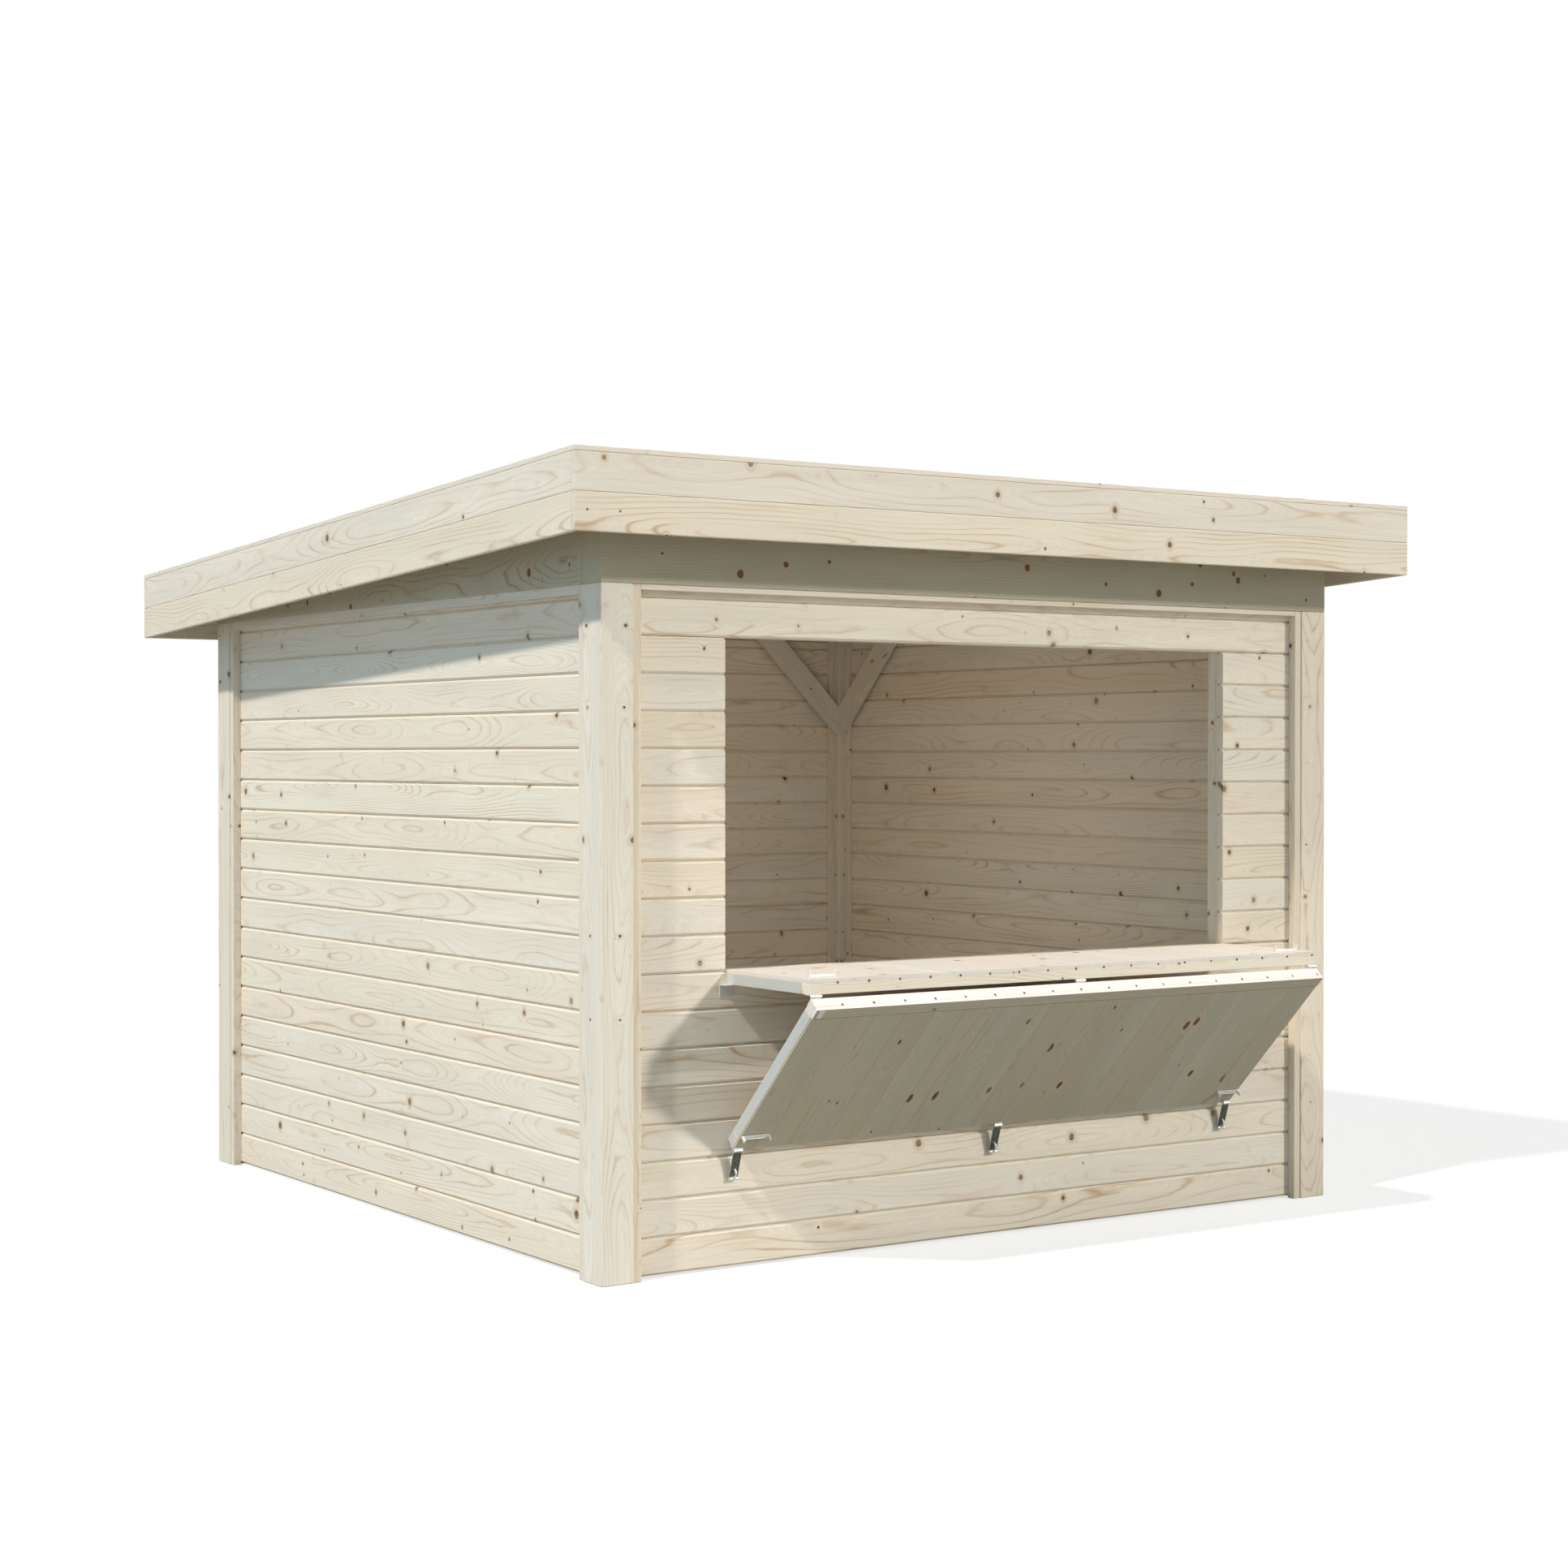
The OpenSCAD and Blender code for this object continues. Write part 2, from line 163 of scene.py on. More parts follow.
spruceLook = {
    "tints": [  # one is chosen along this row for each board
        (0.00, (0.845, 0.790, 0.680, 1)),
        (0.22, (0.820, 0.715, 0.560, 1)),
        (0.42, (0.835, 0.775, 0.650, 1)),
        (0.60, (0.835, 0.735, 0.600, 1)),
        (0.80, (0.800, 0.745, 0.635, 1)),
        (1.00, (0.840, 0.760, 0.640, 1)),
    ],
    "latewood": (0.545, 0.355, 0.190, 1),
    "knotLight": (0.170, 0.095, 0.050, 1),
    "knotDark": (0.055, 0.034, 0.022, 1),
    "halo": (0.580, 0.405, 0.235, 1),
    "ringWidth": 0.0115,  # metres between the strong yearly rings
    "ringSpread": (0.65, 1.50),  # the narrowest and the widest, in ring widths
    "ringDepth": 1.00,  # strength of the darkest rings
    "ringWarp": 0.016,  # how far the rings waver, metres
    "fineWidth": 0.0031,  # metres between the fine rings
    "fineDepth": 0.16,  # strength of the fine rings
    "heartSide": 0.10,  # spread of the tree's heart to the side of a board, metres
    "heartBelow": (0.035, 0.050),  # least depth of the heart, and the spread of its depth
    "heartWander": (0.10, 0.22),  # how far it wanders along a board, sideways and in depth
    "knotLong": 0.34,  # a knot's cell along the fibres, metres
    "knotWide": 0.085,  # and across them
    "knotShare": 0.70,  # share of cells that hold no knot
    "knotScatter": 0.85,  # 0 for knots in even rows, 1 for the least even
    "knotSmallest": 0.0043,  # radius, metres
    "knotRadius": 0.0100,  # what the luckiest knot adds to the smallest
    "knotRound": 1.10,  # 1 for a round knot, less for one drawn out along the fibres
    "knotRagged": 0.006,  # how far its rim wavers, metres
    "swell": 1.6,  # how far the rings part round a knot, in knot radii
    "swellFade": (0.014, 0.038),  # where the parting starts and ends to fade, metres
    "rimWaves": (90.0, 140.0, 140.0),  # waves per metre along, across and through a board
    "warpWaves": (3.0, 16.0, 16.0),
    "threads": (5.0, 260.0, 260.0),
    "clouds": (1.1, 9.0, 9.0),
    "streaks": (1.6, 38.0, 38.0),
    "toneSwing": 0.06,  # how much the threads and the clouds lighten and darken
    "tanMost": 0.38,  # strength of the tan streaks on the most streaked board
    "roughness": (0.66, 0.52),  # of pale wood and of the rings
    "relief": 0.0006,  # metres
    "shine": 0.28,
}
ringShade = [  # darkness across one strong ring
    (0.00, (0.50, 0.50, 0.50, 1)),
    (0.09, (0.00, 0.00, 0.00, 1)),
    (0.55, (0.02, 0.02, 0.02, 1)),
    (0.80, (0.22, 0.22, 0.22, 1)),
    (0.93, (1.00, 1.00, 1.00, 1)),
    (1.00, (0.50, 0.50, 0.50, 1)),
]


def knotPattern(tree, look, along, across, fibre, luckC):
    # at most one knot in each stretched cell: its distance, radius and share
    moved = calc(tree, "MULTIPLY_ADD", luckC, 20.0, across)
    cellSize = (look["knotLong"], look["knotWide"], 1.0)
    place = addNode(tree, "ShaderNodeCombineXYZ", {0: along, 1: moved}).outputs[0]
    place = vecCalc(tree, "DIVIDE", place, cellSize)
    cells = addNode(tree, "ShaderNodeTexVoronoi", {"Vector": place, "Scale": 1.0,
                                                  "Randomness": look["knotScatter"]},
                    voronoi_dimensions="2D", feature="F1")
    away = vecCalc(tree, "SUBTRACT", place, cells.outputs["Position"])
    away = vecCalc(tree, "MULTIPLY", away, (cellSize[0] * look["knotRound"], cellSize[1], 0.0))
    ragged = noise(tree, vecCalc(tree, "MULTIPLY", fibre, look["rimWaves"]))
    ragged = calc(tree, "SUBTRACT", ragged, 0.5)
    far = calc(tree, "MULTIPLY_ADD", ragged, look["knotRagged"], vecCalc(tree, "LENGTH", away))
    cellLuck = addNode(tree, "ShaderNodeSeparateColor", {0: cells.outputs["Color"]}).outputs[0]
    size = calc(tree, "POWER", remap(tree, cellLuck, look["knotShare"], 1.0), 1.7)
    radius = calc(tree, "MULTIPLY_ADD", size, look["knotRadius"], look["knotSmallest"])
    exists = calc(tree, "GREATER_THAN", cellLuck, look["knotShare"])
    return calc(tree, "DIVIDE", far, radius), radius, exists, size, far


def ringPattern(tree, look, along, across, deep, luck, swell):
    # yearly rings round a heart that wanders below the board, and how dark they are
    luckA, luckB, luckC = luck
    slowPlace = addNode(tree, "ShaderNodeCombineXYZ", {0: along, 1: luckB}).outputs[0]
    slow = addNode(tree, "ShaderNodeTexNoise", {"Vector": slowPlace, "Scale": 0.9, "Detail": 1.0})
    bend = addNode(tree, "ShaderNodeSeparateColor", {0: slow.outputs["Color"]}).outputs
    wander = times(tree, calc(tree, "SUBTRACT", bend[0], 0.5), look["heartWander"][0])
    dive = times(tree, calc(tree, "SUBTRACT", bend[1], 0.5), look["heartWander"][1])
    heart = times(tree, calc(tree, "SUBTRACT", luckA, 0.5), look["heartSide"])
    side = calc(tree, "ADD", calc(tree, "SUBTRACT", across, heart), wander)
    least, spread = look["heartBelow"]
    below = calc(tree, "ADD", calc(tree, "MULTIPLY_ADD", luckB, spread, least), deep)
    below = calc(tree, "ADD", below, dive)
    squares = [calc(tree, "POWER", value, 2.0) for value in (side, below)]
    far = calc(tree, "SQRT", calc(tree, "ADD", *squares))

    warpPlace = addNode(tree, "ShaderNodeCombineXYZ", {0: along, 1: across, 2: deep}).outputs[0]
    warpPlace = vecCalc(tree, "MULTIPLY", warpPlace, look["warpWaves"])
    warp = calc(tree, "SUBTRACT", noise(tree, warpPlace, 1.0, 3.0), 0.5)
    warp = times(tree, warp, look["ringWarp"])
    reach = calc(tree, "ADD", far, calc(tree, "ADD", swell, warp))
    narrow, wide = look["ringSpread"]
    width = remap(tree, luckC, 0.0, 1.0, look["ringWidth"] * narrow, look["ringWidth"] * wide)
    strong = ramp(tree, calc(tree, "FRACT", calc(tree, "DIVIDE", reach, width)), ringShade)
    fine = calc(tree, "FRACT", calc(tree, "DIVIDE", reach, look["fineWidth"]))

    # the strong rings fade in and out in patches, and are fainter on some boards
    patches = noise(tree, vecCalc(tree, "MULTIPLY", warpPlace, (0.7, 0.8, 0.8)))
    fade = remap(tree, patches, 0.36, 0.66, 0.16, 1.0)
    fade = times(tree, fade, remap(tree, luckA, 0.0, 1.0, 0.55, 1.0))
    strong = times(tree, strong, times(tree, fade, look["ringDepth"]))
    fine = times(tree, calc(tree, "POWER", fine, 2.0), look["fineDepth"])
    return calc(tree, "MAXIMUM", strong, fine)


def spruceMaterial(name, look, gain=1.0):
    material, tree = newMaterial(name)
    fibre = addNode(tree, "ShaderNodeAttribute", attribute_name="grain").outputs["Vector"]
    piece = addNode(tree, "ShaderNodeAttribute", attribute_name="piece").outputs["Fac"]
    draw = addNode(tree, "ShaderNodeTexWhiteNoise", {"W": piece}, noise_dimensions="1D")
    luck = addNode(tree, "ShaderNodeSeparateColor", {0: draw.outputs["Color"]}).outputs[:3]
    parts = addNode(tree, "ShaderNodeSeparateXYZ", {0: fibre}).outputs
    across, deep = parts[1], parts[2]
    along = calc(tree, "MULTIPLY_ADD", luck[0], 40.0, parts[0])

    # a knot runs through the timber from corner to corner, so that it is round on every long side
    slant = calc(tree, "ADD", across, deep)
    inside, radius, exists, size, far = knotPattern(tree, look, along, slant, fibre, luck[2])
    core = times(tree, remap(tree, inside, 1.12, 0.80, smooth=True), exists)
    rim = remap(tree, inside, 0.25, 0.95, smooth=True)
    halo = times(tree, remap(tree, inside, 3.0, 0.9, smooth=True), exists)

    # the rings part round a knot, and close again away from it
    push = calc(tree, "EXPONENT", times(tree, calc(tree, "POWER", inside, 2.0), -0.11))
    push = times(tree, push, remap(tree, far, *look["swellFade"], 1.0, 0.0, smooth=True))
    swell = times(tree, exists, look["swell"])
    swell = times(tree, times(tree, push, radius), swell)
    dark = ringPattern(tree, look, along, across, deep, luck, swell)

    # fine fibres, slow changes of tone and tan streaks
    fibrePlace = addNode(tree, "ShaderNodeCombineXYZ", {0: along, 1: across, 2: deep}).outputs[0]
    threads = noise(tree, vecCalc(tree, "MULTIPLY", fibrePlace, look["threads"]), 1.0, 3.0, 0.6)
    clouds = noise(tree, vecCalc(tree, "MULTIPLY", fibrePlace, look["clouds"]))
    streaks = noise(tree, vecCalc(tree, "MULTIPLY", fibrePlace, look["streaks"]), 1.0, 4.0, 0.6)
    swing = look["toneSwing"]
    tone = calc(tree, "ADD", remap(tree, threads, 0.2, 0.8, -swing, swing),
                remap(tree, clouds, 0.25, 0.75, -swing, swing))
    # gain darkens a whole copy; the small cuts on the frame and roof are their tone, the large ones on the
    # beams, the leaf's face and the battens' ends painted shade
    tone = times(tree, calc(tree, "ADD", tone, 1.0), gain)
    tan = remap(tree, streaks, 0.55, 0.75, smooth=True)
    tan = times(tree, tan, remap(tree, luck[2], 0.4, 1.0, 0.0, look["tanMost"]))

    base = blendColour(tree, tan, ramp(tree, luck[1], look["tints"]), look["halo"])
    colour = blendColour(tree, dark, base, look["latewood"])
    toned = addNode(tree, "ShaderNodeVectorMath", {0: colour, "Scale": tone}, operation="SCALE")
    haloShare = times(tree, halo, remap(tree, size, 0.0, 0.4, 0.15, 0.60))
    colour = blendColour(tree, haloShare, toned.outputs["Vector"], look["halo"])
    heart = blendColour(tree, remap(tree, size, 0.05, 0.40), look["knotDark"], look["knotLight"])
    heart = blendColour(tree, times(tree, rim, 0.6), heart, look["knotDark"])
    colour = blendColour(tree, core, colour, heart)

    height = calc(tree, "ADD", times(tree, threads, 0.5), times(tree, dark, 0.6))
    bump = addNode(tree, "ShaderNodeBump", {"Height": height, "Strength": 0.25, "Distance": look["relief"]})
    rough = remap(tree, dark, 0.0, 0.6, *look["roughness"])
    shader = addNode(tree, "ShaderNodeBsdfPrincipled", {"Base Color": colour, "Roughness": rough,
                                                        "Normal": bump.outputs[0]})
    shader.inputs["Specular IOR Level"].default_value = look["shine"]
    addNode(tree, "ShaderNodeOutputMaterial", {"Surface": shader.outputs[0]})
    return material


# Steel

steelLook = {
    "colour": (0.86, 0.86, 0.86, 1),
    "dull": (0.78, 0.78, 0.77, 1),  # colour of the duller patches
    "roughness": (0.26, 0.40),
    "metallic": 0.55,
    "patches": 160.0,  # to the metre
}
# dark greenish steel for the straps' long faces: painted reflection
strapReflectionLook = {
    "colour": (0.20, 0.22, 0.17, 1),
    "dull": (0.12, 0.13, 0.10, 1),
    "roughness": (0.22, 0.35),
    "metallic": 0.9,
    "patches": 90.0,
}
nailLook = {
    "colour": (0.26, 0.19, 0.13, 1),
    "dull": (0.10, 0.07, 0.05, 1),
    "roughness": (0.35, 0.6),
    "metallic": 0.8,
    "patches": 400.0,
}


def steelMaterial(name, look):
    material, tree = newMaterial(name)
    place = addNode(tree, "ShaderNodeTexCoord").outputs["Object"]
    spangle = noise(tree, place, look["patches"], 3.0)
    colour = blendColour(tree, remap(tree, spangle, 0.35, 0.7), look["colour"], look["dull"])
    rough = remap(tree, spangle, 0.3, 0.7, *look["roughness"])
    shader = addNode(tree, "ShaderNodeBsdfPrincipled", {"Base Color": colour, "Roughness": rough})
    shader.inputs["Metallic"].default_value = look["metallic"]
    addNode(tree, "ShaderNodeOutputMaterial", {"Surface": shader.outputs[0]})
    return material


def tinted(red, green, blue):
    # the boards' tints, each channel multiplied
    return [(place, (tint[0] * red, tint[1] * green, tint[2] * blue, 1))
            for place, tint in spruceLook["tints"]]


frameLook = dict(spruceLook, ringWidth=0.0095, knotLong=0.24, knotWide=0.09, knotShare=0.48,
                 knotRadius=0.0070)
roofLook = dict(spruceLook, knotLong=0.5)
beamLook = dict(spruceLook, tints=tinted(1.0, 1.0, 0.87), knotLong=0.20, knotShare=0.42)
counterLook = dict(spruceLook, tints=tinted(0.92, 0.95, 1.03), ringDepth=0.55, knotShare=0.72)
# the rail's whiter, bluer tint also goes on the leaf's upward ends: painted light where the sun falls on
# them
railLook = dict(spruceLook, tints=tinted(1.0, 1.02, 1.16), ringDepth=0.5)
# the leaf's greener tint and its gain of 0.58 below are painted shade on its outward face; its knots and
# rings are the wood's own
leafLook = dict(spruceLook, tints=tinted(0.97, 1.0, 0.92), ringDepth=0.55, fineDepth=0.26,
                knotRound=0.45, knotShare=0.60, knotRadius=0.0075, knotSmallest=0.0036,
                knotLight=(0.10, 0.055, 0.030, 1))
# a greyer, bluer copy with faint rings for the battens' side faces: painted shade
endShadeLook = dict(spruceLook, tints=tinted(0.74, 0.84, 0.98), ringDepth=0.4, fineDepth=0.05,
               knotShare=0.999)

wallSpruce = spruceMaterial("wallSpruce", spruceLook)
frameSpruce = spruceMaterial("frameSpruce", frameLook, 0.96)
roofSpruce = spruceMaterial("roofSpruce", roofLook, 0.95)
# the beams' copy is darkened by its gain of 0.63: painted shade under the eaves
beamEaveShadeSpruce = spruceMaterial("beamEaveShadeSpruce", beamLook, 0.63)
counterSpruce = spruceMaterial("counterSpruce", counterLook)
railSpruce = spruceMaterial("railSpruce", railLook)
leafShadedSpruce = spruceMaterial("leafShadedSpruce", leafLook, 0.58)
endShadeSpruce = spruceMaterial("endShadeSpruce", endShadeLook, 0.86)
brightZinc = steelMaterial("brightZinc", steelLook)
strapReflectionZinc = steelMaterial("strapReflectionZinc", strapReflectionLook)
nailSteel = steelMaterial("nailSteel", nailLook)
print("materials made")


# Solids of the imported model

solidOptions = {
    "weld": 1e-5,  # corners this near each other are one, metres
    "flat": 0.5,  # faces within this many degrees are one
    "square": 0.09,  # cosine of the angle under which edges count as square
}


def solidsOf(node):
    # each closed solid of a node, as its own bmesh with flat faces merged
    source = frame["nodes"][node].data
    whole = bmesh.new()
    whole.from_mesh(source)
    bmesh.ops.remove_doubles(whole, verts=whole.verts, dist=solidOptions["weld"])
    seen, solids = set(), []
    whole.verts.ensure_lookup_table()
    for start in whole.verts:
        if start in seen:
            continue
        group, queue = [], [start]
        seen.add(start)
        while queue:
            vert = queue.pop()
            group.append(vert)
            for edge in vert.link_edges:
                other = edge.other_vert(vert)
                if other not in seen:
                    seen.add(other)
                    queue.append(other)
        solids.append(copySolid(group))
    whole.free()
    return solids


def copySolid(group):
    solid = bmesh.new()
    new = {vert: solid.verts.new(vert.co) for vert in group}
    # each face once, in an order that is the same in every run
    for face in dict.fromkeys(face for vert in group for face in vert.link_faces):
        solid.faces.new([new[vert] for vert in face.verts])
    bmesh.ops.recalc_face_normals(solid, faces=solid.faces)
    solid.normal_update()
    bmesh.ops.dissolve_limit(solid, angle_limit=math.radians(solidOptions["flat"]),
                             verts=solid.verts, edges=solid.edges)
    return solid


def plainMesh(name, solid):
    mesh = bpy.data.meshes.new(name)
    solid.to_mesh(mesh)
    solid.free()
    return mesh


def edgeWay(edge):
    return (edge.verts[1].co - edge.verts[0].co).normalized()


def solidAxes(solid):
    # fibres run along the longest edge; the next longest square to it lies across
    edges = sorted(solid.edges, key=lambda edge: -edge.calc_length())
    along = edgeWay(edges[0])
    if along[max(range(3), key=lambda axis: abs(along[axis]))] < 0:
        along = -along
    across = next(edgeWay(edge) for edge in edges
                  if abs(edgeWay(edge).dot(along)) < solidOptions["square"])
    across = (across - along * across.dot(along)).normalized()
    deep = along.cross(across)
    spans = []
    for axis in (along, across, deep):
        reach = [vert.co.dot(axis) for vert in solid.verts]
        spans.append((min(reach), max(reach)))
    if spans[2][1] - spans[2][0] > spans[1][1] - spans[1][0]:
        across, deep = deep, -across
        spans = [spans[0], spans[2], (-spans[1][1], -spans[1][0])]
    return (along, across, deep), spans


# Timber

timberOptions = {"seed": 41, "edge": 0.0020, "postEdge": 0.0040, "edgeSteps": 2}
chance = random.Random(timberOptions["seed"])


def markGrain(mesh, axes, spans, piece):
    # the material reads where a point lies in its own piece of timber
    mesh.attributes.new("grain", "FLOAT_VECTOR", "POINT")
    middle = [(low + high) / 2 for low, high in spans]
    values = []
    for vert in mesh.vertices:
        values += [vert.co.dot(axis) - centre for axis, centre in zip(axes, middle)]
    mesh.attributes["grain"].data.foreach_set("vector", values)
    if piece is not None:
        mesh.attributes.new("piece", "FLOAT", "POINT")
        mesh.attributes["piece"].data.foreach_set("value", [piece] * len(mesh.vertices))


def timberMesh(solid, edge):
    axes, spans = solidAxes(solid)
    bmesh.ops.bevel(solid, geom=solid.edges[:], offset=edge, segments=timberOptions["edgeSteps"],
                    profile=0.5, affect="EDGES", clamp_overlap=True)
    mesh = plainMesh("timber", solid)
    markGrain(mesh, axes, spans, chance.random())
    return mesh


def joinMeshes(name, meshes, material):
    # several finished meshes become one object at the origin
    joined = bmesh.new()
    for mesh in meshes:
        joined.from_mesh(mesh)
    result = plainMesh(name, joined)
    for mesh in meshes:
        bpy.data.meshes.remove(mesh)
    result.materials.clear()
    result.materials.append(material)
    for polygon in result.polygons:
        polygon.material_index = 0
    return newObject(name, result)


def standFor(piece, node, body):
    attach(piece, body)
    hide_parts(node)


def pieceName(node, ending):
    # front_beam and Timber give frontBeamTimber
    first, *rest = node.split("_")
    return first + "".join(word.capitalize() for word in rest) + ending


def dressTimber(node, material, body, edge):
    meshes = [timberMesh(solid, edge) for solid in solidsOf(node)]
    standFor(joinMeshes(pieceName(node, "Timber"), meshes, material), node, body)


timberPieces = {
    "posts_and_beams": ["front_left_post", "front_right_post", "back_left_post", "back_right_post",
                        "front_beam", "back_beam", "left_side_beam", "right_side_beam"],
    "battens": ["front_cover_battens", "left_cover_battens", "right_cover_battens",
                "back_cover_battens", "inner_corner_battens"],
    "opening_timber": ["opening_left_stud", "opening_right_stud", "opening_sill_rail",
                       "opening_head_rail"],
    "braces": ["front_left_braces", "front_right_braces", "back_left_braces", "back_right_braces"],
    "roof_timber": ["rafters"],
    "fascia_boards": ["roof_edge_trim"],
    "counter_wood": ["counter_rails"],
}
for slot, nodes in timberPieces.items():
    edge = timberOptions["postEdge"] if slot == "posts_and_beams" else timberOptions["edge"]
    for node in nodes:
        material = beamEaveShadeSpruce if node.endswith("beam") else frameSpruce
        dressTimber(node, material, "stall", edge)
dressTimber("shutter_battens", counterSpruce, "shutter_leaf", timberOptions["edge"])
print("timbers dressed")


# Fascias, each of two boards one above the other

fasciaOptions = {"edge": 0.003}


def splitSolid(solid):
    # cuts a solid along its length, half way across
    axes, spans = solidAxes(solid)
    middle = axes[1] * ((spans[1][0] + spans[1][1]) / 2)
    other = solid.copy()
    halves = []
    for half, side in ((solid, {"clear_outer": True}), (other, {"clear_inner": True})):
        cut = bmesh.ops.bisect_plane(half, geom=half.verts[:] + half.edges[:] + half.faces[:],
                                     plane_co=middle, plane_no=axes[1], **side)
        rim = [item for item in cut["geom_cut"] if isinstance(item, bmesh.types.BMEdge)]
        bmesh.ops.edgenet_fill(half, edges=rim)
        bmesh.ops.recalc_face_normals(half, faces=half.faces)
        halves.append(half)
    return halves


for node in ("fascia_front", "fascia_back", "fascia_left", "fascia_right"):
    halves = [half for solid in solidsOf(node) for half in splitSolid(solid)]
    meshes = [timberMesh(half, fasciaOptions["edge"]) for half in halves]
    boards = joinMeshes(pieceName(node, "Boards"), meshes, roofSpruce)
    standFor(boards, node, "stall")
print("fascias made")


# Node trees: both end in real geometry with its material

def newTree(name, inputs, output):
    # a tree with named inputs and one geometry output
    tree = bpy.data.node_groups.new(name, "GeometryNodeTree")
    for label, kind in inputs.items():
        tree.interface.new_socket(name=label, in_out="INPUT", socket_type="NodeSocket" + kind)
    tree.interface.new_socket(name=output, in_out="OUTPUT", socket_type="NodeSocketGeometry")
    return tree, tree.nodes.new("NodeGroupInput").outputs


def endTree(tree, instances, finish):
    real = addNode(tree, "GeometryNodeRealizeInstances", {"Geometry": instances})
    done = addNode(tree, "GeometryNodeSetMaterial", {"Geometry": real.outputs[0], "Material": finish})
    out = tree.nodes.new("NodeGroupOutput")
    tree.links.new(done.outputs[0], out.inputs[0])


def openSocket(sockets, name="Value"):
    # a node with a data type shows one of several sockets of the same name
    return [socket for socket in sockets if socket.name == name and socket.enabled][0]


def runTree(tree, mesh, values):
    # evaluates a tree on a mesh and returns the result as a plain mesh
    holder = newObject("holder", mesh)
    modifier = holder.modifiers.new("tree", "NODES")
    modifier.node_group = tree
    for item in tree.interface.items_tree:
        if item.in_out == "INPUT" and item.name in values:
            modifier[item.identifier] = values[item.name]
    bpy.context.view_layer.update()
    ready = holder.evaluated_get(bpy.context.evaluated_depsgraph_get())
    result = bpy.data.meshes.new_from_object(ready, preserve_all_data_layers=True,
                                             depsgraph=bpy.context.evaluated_depsgraph_get())
    holder.modifiers.remove(modifier)
    bpy.data.objects.remove(holder)
    bpy.data.meshes.remove(mesh)
    return result


def faceOutwards(mesh):
    shape = bmesh.new()
    shape.from_mesh(mesh)
    bmesh.ops.recalc_face_normals(shape, faces=shape.faces)
    shape.to_mesh(mesh)
    shape.free()


# Tongued boards, stacked by a node tree

boardOptions = {
    "cover": 0.120,  # width that one wall board covers
    "roofCover": 0.1197,
    "counterCover": 0.12055,
    "bevel": 0.0072,  # at each long edge, both faces
    "bevelShare": 0.3,  # of the width or thickness, at most
    "gap": 0.0020,  # open joint between two boards
    "tongue": 0.0050,  # height of the tongue past the joint
    "tongueThick": 0.0080,
    "fullThick": 0.026,  # thinner boards have thinner tongues
    "play": 0.0004,  # room round the tongue
    "leastRip": 0.012,  # a narrower strip than this is left out
    "slack": 0.02,  # share of a board that may be missing from the last whole one
}
counterBoardOptions = dict(boardOptions, bevel=0.0006, gap=0.0003)


def boardOutline(width, thick, tongued, options):
    # points (across, deep) round the end of one board
    bevel = min(options["bevel"], width * options["bevelShare"], thick * options["bevelShare"])
    top = width - options["gap"]
    half = options["tongueThick"] / 2 * min(1.0, thick / options["fullThick"])
    slot = half + options["play"]
    tip = top + options["gap"] + options["tongue"]
    sink = options["tongue"] + options["play"]
    middle = thick / 2
    bottom = [(bevel, 0), (0, bevel), (0, middle - slot), (sink, middle - slot),
              (sink, middle + slot), (0, middle + slot), (0, thick - bevel), (bevel, thick)]
    upper = [(top - bevel, thick), (top, thick - bevel)]
    if tongued:
        upper += [(top, middle + half), (tip, middle + half), (tip, middle - half), (top, middle - half)]
    return bottom + upper + [(top, bevel), (top - bevel, 0)]


def boardMesh(length, width, thick, tongued, options):
    # one board: fibres along X, its width along Y, its thickness along Z
    outline = boardOutline(width, thick, tongued, options)
    count = len(outline)
    verts = [(x, across, deep) for x in (0.0, length) for across, deep in outline]
    faces = [[(i + 1) % count, i, i + count, (i + 1) % count + count] for i in range(count)]
    faces += [list(range(count)), [i + count for i in reversed(range(count))]]
    mesh = bpy.data.meshes.new("board")
    mesh.from_pydata(verts, [], faces)
    faceOutwards(mesh)
    markGrain(mesh, (Vector((1, 0, 0)), Vector((0, 1, 0)), Vector((0, 0, 1))),
              ((0, length), (0, width), (0, thick)), None)
    return mesh


def boardStackTree():
    # repeats the incoming board along a step and gives each copy its own number
    inputs = {"Board": "Geometry", "Count": "Int", "Cover": "Float", "Seed": "Int", "Finish": "Material"}
    tree, given = newTree("boardStack", inputs, "Boards")
    step = addNode(tree, "ShaderNodeCombineXYZ", {"Y": given["Cover"]})
    line = addNode(tree, "GeometryNodeMeshLine", {"Count": given["Count"], "Offset": step.outputs[0]},
                   mode="OFFSET")
    copies = addNode(tree, "GeometryNodeInstanceOnPoints",
                     {"Points": line.outputs[0], "Instance": given["Board"]})
    draw = addNode(tree, "FunctionNodeRandomValue", {"Seed": given["Seed"]}, data_type="FLOAT")
    named = addNode(tree, "GeometryNodeStoreNamedAttribute",
                    {"Geometry": copies.outputs[0], "Name": "piece"}, data_type="FLOAT", domain="INSTANCE")
    tree.links.new(openSocket(draw.outputs), openSocket(named.inputs))
    endTree(tree, named.outputs[0], given["Finish"])
    return tree


boardTree = boardStackTree()


def boardField(name, length, height, thick, cover, place, seed, material, options=boardOptions):
    # fills a flat field with boards: as many whole ones as fit, then a ripped one
    whole = int(height / cover + options["slack"])
    rest = height - whole * cover
    ripped = rest > options["leastRip"]
    tongued = whole if ripped else whole - 1
    last = rest if ripped else cover
    meshes = []
    for run, (count, start, width) in enumerate(((tongued, 0.0, cover), (1, tongued * cover, last))):
        if count < 1:
            continue
        board = boardMesh(length, width, thick, run == 0, options)
        values = {"Count": count, "Cover": cover, "Seed": seed * 7 + run, "Finish": material}
        field = runTree(boardTree, board, values)
        field.transform(place @ Matrix.Translation((0, start, 0)))
        meshes.append(field)
    return joinMeshes(name, meshes, material)


def placeFrom(corner, along, across):
    deep = along.cross(across)
    turn = Matrix((along, across, deep)).transposed().to_4x4()
    return Matrix.Translation(corner) @ turn


